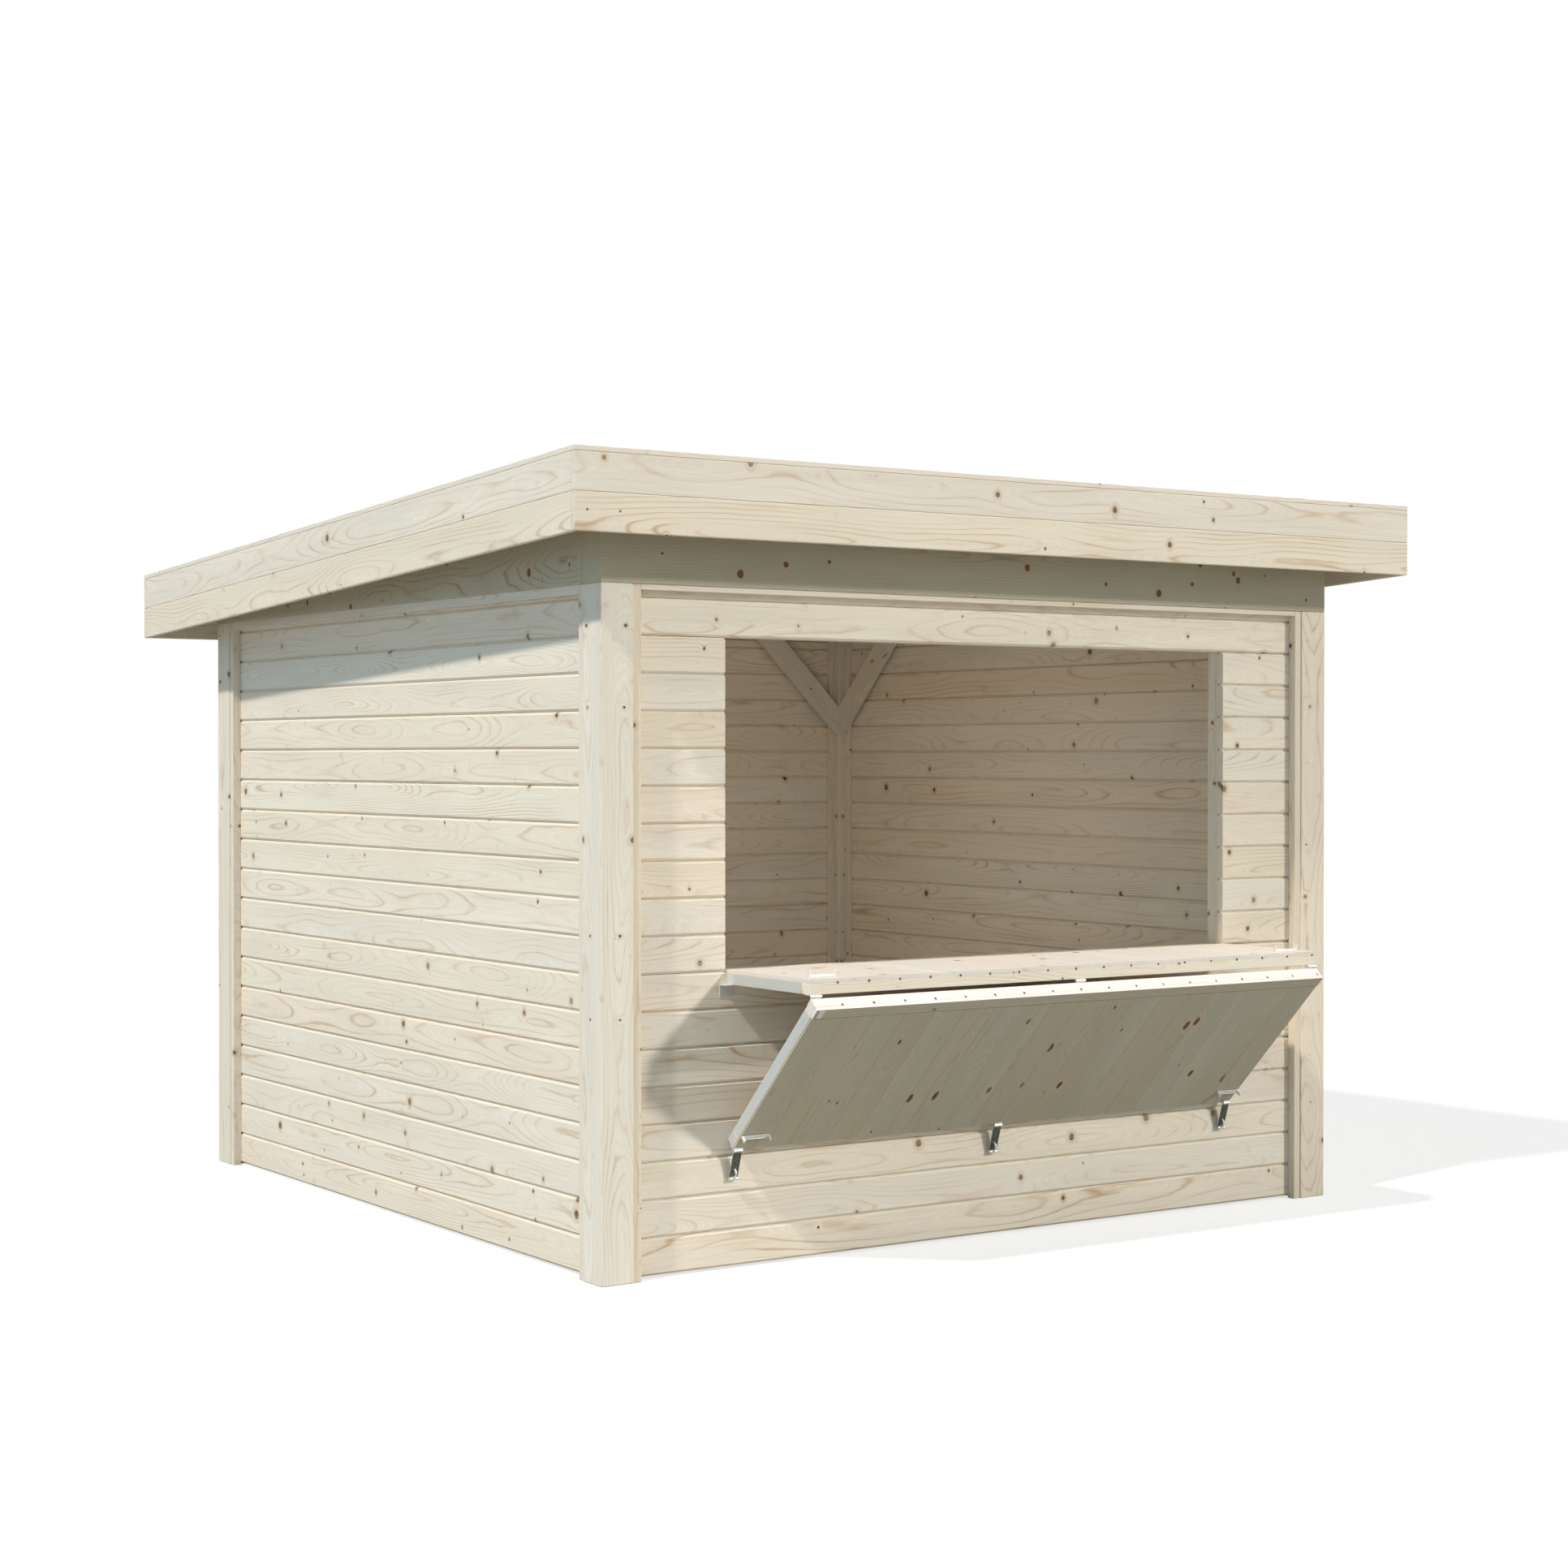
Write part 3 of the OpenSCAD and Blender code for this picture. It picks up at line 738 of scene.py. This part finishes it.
wallPieces = ["left_wall", "right_wall", "back_wall", "front_wall_below", "front_wall_left",
              "front_wall_right", "front_wall_header"]
for seed, node in enumerate(wallPieces, start=3):
    low, high = [Vector(corner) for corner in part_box(node)]
    size = high - low
    if size.x > size.y:
        place = placeFrom(Vector((low.x, high.y, low.z)), Vector((1, 0, 0)), Vector((0, 0, 1)))
        length, thick = size.x, size.y
    else:
        place = placeFrom(low, Vector((0, 1, 0)), Vector((0, 0, 1)))
        length, thick = size.y, size.x
    boards = boardField(pieceName(node, "Boards"), length, size.z, thick, boardOptions["cover"],
                        place, seed, wallSpruce)
    standFor(boards, node, "stall")
print("walls boarded")


def slabBoards(node, name, cover, seed, material, options=boardOptions):
    # boards a slab that may slope, across its longest side
    solid = solidsOf(node)[0]
    (along, across, deep), spans = solidAxes(solid)
    solid.free()
    along, across = across, -along
    spans = [spans[1], (-spans[0][1], -spans[0][0]), spans[2]]
    corner = along * spans[0][0] + across * spans[1][0] + deep * spans[2][0]
    place = placeFrom(corner, along, across)
    length, height, thick = [high - low for low, high in spans]
    boards = boardField(name, length, height, thick, cover, place, seed, material, options)
    standFor(boards, node, "stall")


slabBoards("roof_boards", "roofDeckBoards", boardOptions["roofCover"], 11, roofSpruce)
slabBoards("counter_top", "counterBoards", boardOptions["counterCover"], 12,
           counterSpruce, counterBoardOptions)


# The shutter leaf: boards over its battens, and a rail across their upper ends

counterLow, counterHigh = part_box("counter_top")
halfLeaf = counterHigh[0]
leafOptions = {
    "turn": 134.308,  # degrees about the pin; the leaf hangs down from it along -Y
    "top": 0.003,  # from the pin to the leaf's upper end
    "free": 0.688,  # from the pin to its lower end
    "back": 0.005,  # from the pin to its back
    "seat": 0.041,  # to the front of the battens
    "face": 0.053,  # and to the front of the boards
    "rail": 0.042,  # height of the rail
    "railEdge": 0.0008,
    "joint": 0.0040,  # between the rail and the boards
    "sunk": 0.0016,  # how far the boards lie behind the rail's face
}
leafPin = frame["joints"][0]["pos_m"]
leafFace = leafOptions["face"]
leafMatrix = Matrix.Translation(leafPin) @ Matrix.Rotation(math.radians(leafOptions["turn"]), 4, "X")


def blockMesh(low, high, edge, matrix):
    # an upright timber block in the frame of a matrix, its fibres along its longest side
    solid = bmesh.new()
    middle = (Vector(low) + Vector(high)) / 2
    size = Vector(high) - Vector(low)
    place = matrix @ Matrix.Translation(middle) @ Matrix.Diagonal(size).to_4x4()
    bmesh.ops.create_cube(solid, size=1.0, matrix=place)
    return timberMesh(solid, edge)


def leafBoards(options):
    railLow = options["top"] + options["rail"]
    corner = Vector((-halfLeaf, -(railLow + options["joint"]), options["seat"]))
    place = leafMatrix @ placeFrom(corner, Vector((0, -1, 0)), Vector((1, 0, 0)))
    length = options["free"] + corner.y
    thick = options["face"] - options["seat"] - options["sunk"]
    boards = boardField("shutterLeafBoards", length, 2 * halfLeaf, thick, boardOptions["counterCover"],
                        place, 13, counterSpruce, counterBoardOptions)
    standFor(boards, "shutter_panel", "shutter_leaf")
    low = (-halfLeaf, -railLow, options["seat"])
    high = (halfLeaf, -options["top"], options["face"])
    rail = joinMeshes("leafTopRail", [blockMesh(low, high, options["railEdge"], leafMatrix)], railSpruce)
    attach(rail, "shutter_leaf")
    return [boards, rail]


def shadeFaces(piece, material, test):
    # gives the polygons that pass the test a second material, here a copy of the spruce with painted shade
    # or painted light
    piece.data.materials.append(material)
    for polygon in piece.data.polygons:
        if test(polygon.center, polygon.normal):
            polygon.material_index = len(piece.data.materials) - 1


# the outward faces of the leaf's boards and rail get the darker, greener leaf spruce: painted shade
outward = leafMatrix.to_3x3() @ Vector((0, 0, 1))
for piece in leafBoards(leafOptions):
    shadeFaces(piece, leafShadedSpruce, lambda place, way: way.dot(outward) > 0.5)


# The side faces of the counter's and the leaf's battens get a greyer, bluer copy of the spruce than their
# front rails: painted shade

sideShadeOptions = {
    "zone": 0.004,  # faces this near the counter's two ends count
    "counterRail": 0.047,  # depth of the front rail, which stays as it is, outside the painted shade
    "leafRail": 0.049,
}
intoLeaf = leafMatrix.inverted()


def endFace(place, way):
    return abs(place.x) > halfLeaf - sideShadeOptions["zone"] and abs(way.x) > 0.7


def counterSide(place, way):
    return endFace(place, way) and place.y > counterLow[1] + sideShadeOptions["counterRail"]


def leafSide(place, way):
    return endFace(place, way) and (intoLeaf @ place).y < -sideShadeOptions["leafRail"]


shadeFaces(bpy.data.objects["counterRailsTimber"], endShadeSpruce, counterSide)
shadeFaces(bpy.data.objects["shutterBattensTimber"], endShadeSpruce, leafSide)
# the upward ends of the leaf's battens get the whiter rail spruce: painted light
upward = leafMatrix.to_3x3() @ Vector((0, 1, 0))
shadeFaces(bpy.data.objects["shutterBattensTimber"], railSpruce, lambda place, way: way.dot(upward) > 0.5)
print("roof, counter and leaf boarded")


# Hinges, straps and brackets, with their edges eased

steelOptions = {
    "ease": 0.0004,
    "sharp": 35.0,  # degrees; flatter edges stay as they are
    "flat": 0.0008,  # square metres; larger faces of a strap are its long ones, which get the dark painted reflection
}


def dressSteel(node, name, body):
    meshes = []
    for solid in solidsOf(node):
        sharp = [edge for edge in solid.edges if edge.is_manifold
                 and math.degrees(edge.calc_face_angle(0.0)) > steelOptions["sharp"]]
        bmesh.ops.bevel(solid, geom=sharp, offset=steelOptions["ease"], segments=2, profile=0.5,
                        affect="EDGES", clamp_overlap=True)
        meshes.append(plainMesh("steel", solid))
    piece = joinMeshes(name, meshes, brightZinc)
    # the straps' long faces get a dark greenish steel: painted reflection
    if node == "latch_straps":
        piece.data.materials.append(strapReflectionZinc)
        for polygon in piece.data.polygons:
            polygon.material_index = int(polygon.area > steelOptions["flat"])
    standFor(piece, node, body)


for node, name, body in (("counter_brackets", "counterWallBrackets", "stall"),
                         ("shutter_hinge_pins", "hingePins", "stall"),
                         ("shutter_hinge_leaves", "hingeLeaves", "shutter_leaf"),
                         ("latch_straps", "latchStraps", "shutter_leaf")):
    dressSteel(node, name, body)


# Bar brackets: a flat bar with both ends bent up, on the counter and on the leaf

barOptions = {
    "long": 0.104,
    "wide": 0.012,
    "high": 0.022,
    "thick": 0.0055,
    "end": 0.0055,  # thickness of the bent ends
    "ease": 0.0014,
    "counterSide": 0.034,  # from the counter's left and right ends
    "counterBack": 0.055,  # from its front edge
    "leafSide": 0.001,
    "leafUp": 0.062,  # from the leaf's lower end
}


def bentBar(matrix, options):
    high, thick, end, long = options["high"], options["thick"], options["end"], options["long"]
    outline = [(0, 0), (long, 0), (long, high), (long - end, high),
               (long - end, thick), (end, thick), (end, high), (0, high)]
    shape = bmesh.new()
    near = [shape.verts.new((x, 0, z)) for x, z in outline]
    far = [shape.verts.new((x, options["wide"], z)) for x, z in outline]
    shape.faces.new(near)
    shape.faces.new(reversed(far))
    for index in range(len(outline)):
        after = (index + 1) % len(outline)
        shape.faces.new((near[after], near[index], far[index], far[after]))
    bmesh.ops.bevel(shape, geom=shape.edges[:], offset=options["ease"], segments=3, profile=0.5,
                    affect="EDGES", clamp_overlap=True)
    shape.transform(matrix)
    bmesh.ops.recalc_face_normals(shape, faces=shape.faces)
    return plainMesh("bar", shape)


def barPair(name, node, body, matrix, side, y, z):
    # one bar at each end, the same distance from its own end
    starts = (-halfLeaf + side, halfLeaf - side - barOptions["long"])
    meshes = [bentBar(matrix @ Matrix.Translation((x, y, z)), barOptions) for x in starts]
    standFor(joinMeshes(name, meshes, brightZinc), node, body)


barPair("counterBars", "counter_bar_brackets", "stall", Matrix(), barOptions["counterSide"],
        counterLow[1] + barOptions["counterBack"], counterHigh[2])
barPair("leafBars", "shutter_bar_brackets", "shutter_leaf", leafMatrix, barOptions["leafSide"],
        -leafOptions["free"] + barOptions["leafUp"], leafFace)


# A small steel cap on the upper left corner of the leaf

capOptions = {
    "from": 0.008,  # from the pin's line to its upper edge
    "to": 0.040,  # and to its lower edge
    "in": 0.012,  # from the leaf's end to its outer edge
    "out": 0.032,
    "thick": 0.0014,
    "swell": 0.0010,  # rise of its middle
    "steps": 6,
}


def cornerCap(side, options, halfWidth):
    # a thin plate bowed a little away from the batten it is fixed to
    inner = side * (halfWidth - options["in"])
    outer = side * (halfWidth - options["out"])
    steps = options["steps"]
    verts, faces = [], []
    for index in range(steps + 1):
        share = index / steps
        x = inner + (outer - inner) * share
        bow = options["swell"] * math.sin(math.pi * share)
        for y in (-options["from"], -options["to"]):
            verts += [(x, y, leafFace), (x, y, leafFace + options["thick"] + bow)]
    for index in range(steps):
        a, b = index * 4, index * 4 + 4
        faces += [(a, b, b + 2, a + 2), (a + 1, a + 3, b + 3, b + 1)]
        faces += [(a, a + 1, b + 1, b), (a + 2, b + 2, b + 3, a + 3)]
    faces += [(0, 2, 3, 1), (steps * 4, steps * 4 + 1, steps * 4 + 3, steps * 4 + 2)]
    mesh = bpy.data.meshes.new("cap")
    mesh.from_pydata(verts, [], faces)
    mesh.transform(leafMatrix)
    faceOutwards(mesh)
    return mesh


cap = joinMeshes("leafCornerCap", [cornerCap(-1, capOptions, halfLeaf)], brightZinc)
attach(cap, "shutter_leaf")


# A bent rod eye near the lower end of each strap, and the rolled joint at its upper end

strapOptions = {
    "lean": 27.0,  # degrees from the leaf's face
    "long": 0.104,
    "thick": 0.002,
    "side": 0.0165,  # from the leaf's end to the middle of an outer strap
}
eyeOptions = {"rod": 0.0030, "long": 0.030, "high": 0.013, "up": 0.022, "sides": 10, "steps": 14}
knuckleOptions = {"radius": 0.0055, "wide": 0.033, "down": 0.001, "rise": 0.6, "sides": 20}
strapFrame = (leafMatrix @ Matrix.Translation((0.0, -leafOptions["free"], leafFace))
              @ Matrix.Rotation(math.radians(-strapOptions["lean"]), 4, "X"))


def threeAcross(inset):
    # the middle of the leaf, and a place this far in from each end
    return (-halfLeaf + inset, 0.0, halfLeaf - inset)


def strapEye(x, options):
    # a rod swept round half an ellipse that stands on the strap
    middle = Vector((x, options["up"] - strapOptions["long"], strapOptions["thick"]))
    long, high, count, steps = options["long"], options["high"], options["sides"], options["steps"]
    rings, faces = [], []
    for step in range(steps + 1):
        angle = math.pi * step / steps
        centre = middle + Vector((0, math.cos(angle) * long / 2, math.sin(angle) * high))
        away = Vector((0, math.cos(angle) / long * 2, math.sin(angle) / high)).normalized()
        for side in range(count):
            turn = 2 * math.pi * side / count
            ring = away * math.cos(turn) + Vector((1, 0, 0)) * math.sin(turn)
            rings.append(centre + ring * options["rod"])
    for step in range(steps):
        for side in range(count):
            a, b = step * count + side, step * count + (side + 1) % count
            faces.append((a, b, b + count, a + count))
    faces += [tuple(range(count)), tuple(reversed(range(steps * count, (steps + 1) * count)))]
    mesh = bpy.data.meshes.new("eye")
    mesh.from_pydata(rings, [], faces)
    mesh.transform(strapFrame)
    faceOutwards(mesh)
    mesh.shade_smooth()
    return mesh


def strapKnuckle(x, options):
    # the rolled joint between a strap and its tab
    shape = bmesh.new()
    radius = options["radius"]
    place = strapFrame @ Matrix.Translation((x, -options["down"], radius * options["rise"]))
    bmesh.ops.create_cone(shape, cap_ends=True, segments=options["sides"], radius1=radius, radius2=radius,
                          depth=options["wide"], matrix=place @ Matrix.Rotation(math.pi / 2, 4, "Y"))
    return plainMesh("knuckle", shape)


eyeMeshes = []
for x in threeAcross(strapOptions["side"]):
    eyeMeshes += [strapEye(x, eyeOptions), strapKnuckle(x, knuckleOptions)]
eyes = joinMeshes("strapEyes", eyeMeshes, brightZinc)
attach(eyes, "shutter_leaf")
print("steel finished")


# Nail and screw heads, set on points by a node tree

headOptions = {
    "nail": {"Radius": 0.0046, "Height": 0.0005, "Seed": 5},
    "screw": {"Radius": 0.0035, "Height": 0.0003, "Seed": 6},
    "sides": 16,
    "scale": (0.85, 1.10),  # the smallest and the largest head
    "pitch": 0.12055,  # one nail in the end of each counter and leaf board
    "share": 0.86,  # of a board's width, from its left edge
    "down": 0.013,  # from the top edge of the counter
    "leafIn": 0.0300,  # from the back of the leaf
    "fascia": (0.045, 0.160),  # from the left end of the front fascia
    "fasciaUp": 0.065,  # from its lower edge
}
screwOptions = {
    "hingeSide": 0.020,  # from the leaf's end to the middle of an outer hinge
    "hingeStep": 0.013,  # from a hinge's middle to its screws
    "counter": (0.020, 0.003),  # behind and above the pin
    "leaf": (0.019, 0.003),  # below and in front of it, along the leaf
    "strapStep": 0.009,
    "strapUp": 0.0062,  # from the leaf's lower end
}


def headTree():
    # a flat round head on every point, turned to the point's own facing
    inputs = {"Points": "Geometry", "Radius": "Float", "Height": "Float", "Seed": "Int",
              "Finish": "Material"}
    tree, given = newTree("fixingHeads", inputs, "Heads")
    disc = addNode(tree, "GeometryNodeMeshCylinder",
                   {"Vertices": headOptions["sides"], "Radius": given["Radius"], "Depth": given["Height"]})
    facing = addNode(tree, "GeometryNodeInputNamedAttribute", {"Name": "facing"},
                     data_type="FLOAT_VECTOR")
    aim = openSocket(facing.outputs, "Attribute")
    turn = addNode(tree, "FunctionNodeAlignRotationToVector", {"Vector": aim}, axis="Z")
    size = addNode(tree, "FunctionNodeRandomValue", {"Seed": given["Seed"]}, data_type="FLOAT")
    for label, limit in zip(("Min", "Max"), headOptions["scale"]):
        openSocket(size.inputs, label).default_value = limit
    heads = addNode(tree, "GeometryNodeInstanceOnPoints",
                    {"Points": given["Points"], "Instance": disc.outputs[0],
                     "Rotation": turn.outputs[0], "Scale": openSocket(size.outputs)})
    endTree(tree, heads.outputs[0], given["Finish"])
    return tree


fixingTree = headTree()


def setHeads(name, kind, places, material, body):
    # places: pairs of a point and the way its head faces
    mesh = bpy.data.meshes.new("points")
    mesh.from_pydata([point for point, facing in places], [], [])
    mesh.attributes.new("facing", "FLOAT_VECTOR", "POINT")
    ways = [part for point, facing in places for part in facing]
    mesh.attributes["facing"].data.foreach_set("vector", ways)
    values = dict(headOptions[kind], Finish=material)
    heads = joinMeshes(name, [runTree(fixingTree, mesh, values)], material)
    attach(heads, body)
    print(name, "set:", len(places))


def onLeaf(x, y, z, facing):
    return leafMatrix @ Vector((x, y, z)), leafMatrix.to_3x3() @ Vector(facing)


def pairsAcross(inset, reach):
    # two places beside each of the three hinges or straps
    return [x + step for x in threeAcross(inset) for step in (-reach, reach)]


def nailRow(options):
    # one nail for each board across the counter
    boards = int(round(2 * halfLeaf / options["pitch"]))
    return [-halfLeaf + (index + options["share"]) * 2 * halfLeaf / boards for index in range(boards)]


def stallNails(options):
    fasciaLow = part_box("fascia_front")[0]
    places = [(x, counterLow[1], counterHigh[2] - options["down"]) for x in nailRow(options)]
    places += [(fasciaLow[0] + reach, fasciaLow[1], fasciaLow[2] + options["fasciaUp"])
               for reach in options["fascia"]]
    return [(Vector(place), Vector((0, -1, 0))) for place in places]


def leafNails(options):
    z = leafOptions["back"] + options["leafIn"]
    return [onLeaf(x, -leafOptions["top"], z, (0, 1, 0)) for x in nailRow(options)]


def counterScrews(options):
    behind, above = options["counter"]
    return [(Vector((x, leafPin[1] + behind, leafPin[2] + above)), Vector((0, 0, -1)))
            for x in pairsAcross(options["hingeSide"], options["hingeStep"])]


def leafScrews(options):
    below, front = options["leaf"]
    hinges = [onLeaf(x, -below, front, (0, 0, -1))
              for x in pairsAcross(options["hingeSide"], options["hingeStep"])]
    y, z = options["strapUp"] - leafOptions["free"], leafFace + strapOptions["thick"]
    return hinges + [onLeaf(x, y, z, (0, 0, 1))
                     for x in pairsAcross(strapOptions["side"], options["strapStep"])]


setHeads("stallNails", "nail", stallNails(headOptions), nailSteel, "stall")
setHeads("leafNails", "nail", leafNails(headOptions), nailSteel, "shutter_leaf")
setHeads("counterHingeScrews", "screw", counterScrews(screwOptions), brightZinc, "stall")
setHeads("leafScrews", "screw", leafScrews(screwOptions), brightZinc, "shutter_leaf")


# Floor and light

stageOptions = {
    "size": 60.0,
    "colour": (0.35, 0.35, 0.34, 1),
    "lift": 0.67,  # glow of the floor that only the camera sees
}
lightOptions = {
    "left": {"towards": (1.0, 0.22, -1.16), "strength": 2.68, "colour": (1.0, 0.965, 0.915), "angle": 2.5},
    "right": {"towards": (-0.635, 1.0, -0.6), "strength": 1.62, "colour": (1.0, 0.97, 0.92), "angle": 5.0},
    "room": {"place": (0.0, 0.1, 1.35), "radius": 0.5, "strength": 15.0, "colour": (1.0, 0.97, 0.94)},
    "leftSky": (0.50, 0.82, 1.06, 1),  # world to the left of the stall
    "frontSky": (0.66, 0.64, 0.58, 1),  # world in front of it
    "above": (0.28, 0.30, 0.33, 1),  # world overhead
    "leftToFront": (-0.9, 0.1),  # from where to where along X the two skies blend
    "lowToHigh": (0.0, 0.8),  # and from where to where upwards
}


def makeFloor(options):
    half = options["size"] / 2
    mesh = bpy.data.meshes.new("paleFloor")
    corners = [(-half, -half, 0), (half, -half, 0), (half, half, 0), (-half, half, 0)]
    mesh.from_pydata(corners, [], [(0, 1, 2, 3)])
    floor = newObject("paleFloor", mesh)
    material, tree = newMaterial("paleFloor")
    matt = addNode(tree, "ShaderNodeBsdfDiffuse", {"Color": options["colour"]})
    rays = addNode(tree, "ShaderNodeLightPath").outputs
    glow = addNode(tree, "ShaderNodeEmission",
                   {"Strength": times(tree, rays["Is Camera Ray"], options["lift"])})
    both = addNode(tree, "ShaderNodeAddShader", {0: matt.outputs[0], 1: glow.outputs[0]})
    addNode(tree, "ShaderNodeOutputMaterial", {"Surface": both.outputs[0]})
    mesh.materials.append(material)


def newLamp(name, kind, options):
    data = bpy.data.lights.new(name, kind)
    data.energy = options["strength"]
    data.color = options["colour"]
    return newObject(name, data)


def makeSun(name, options):
    lamp = newLamp(name, "SUN", options)
    lamp.data.angle = math.radians(options["angle"])
    lamp.rotation_mode = "QUATERNION"
    lamp.rotation_quaternion = Vector(options["towards"]).to_track_quat("-Z", "Y")


def makeRoomLight(name, options):
    lamp = newLamp(name, "POINT", options)
    lamp.data.shadow_soft_size = options["radius"]
    lamp.location = options["place"]
    lamp.visible_camera = False
    lamp.visible_glossy = False


def makeWorld(options):
    world = bpy.data.worlds.new("studio")
    scene.world = world
    world.use_nodes = True
    tree = world.node_tree
    tree.nodes.clear()
    place = addNode(tree, "ShaderNodeTexCoord").outputs["Generated"]
    way = addNode(tree, "ShaderNodeSeparateXYZ", {0: place}).outputs
    ahead = remap(tree, way[0], *options["leftToFront"], smooth=True)
    light = blendColour(tree, ahead, options["leftSky"], options["frontSky"])
    high = remap(tree, way[2], *options["lowToHigh"], smooth=True)
    light = blendColour(tree, high, light, options["above"])
    rays = addNode(tree, "ShaderNodeLightPath").outputs
    seen = calc(tree, "MAXIMUM", rays["Is Camera Ray"], rays["Is Glossy Ray"])
    colour = blendColour(tree, seen, light, (1.0, 1.0, 1.0, 1))
    sky = addNode(tree, "ShaderNodeBackground", {"Color": colour, "Strength": 1.0})
    addNode(tree, "ShaderNodeOutputWorld", {"Surface": sky.outputs[0]})


makeFloor(stageOptions)
makeSun("leftSun", lightOptions["left"])
makeSun("rightSun", lightOptions["right"])
makeRoomLight("roomLight", lightOptions["room"])
makeWorld(lightOptions)
scene.view_settings.view_transform = "Standard"
print("stage lit")
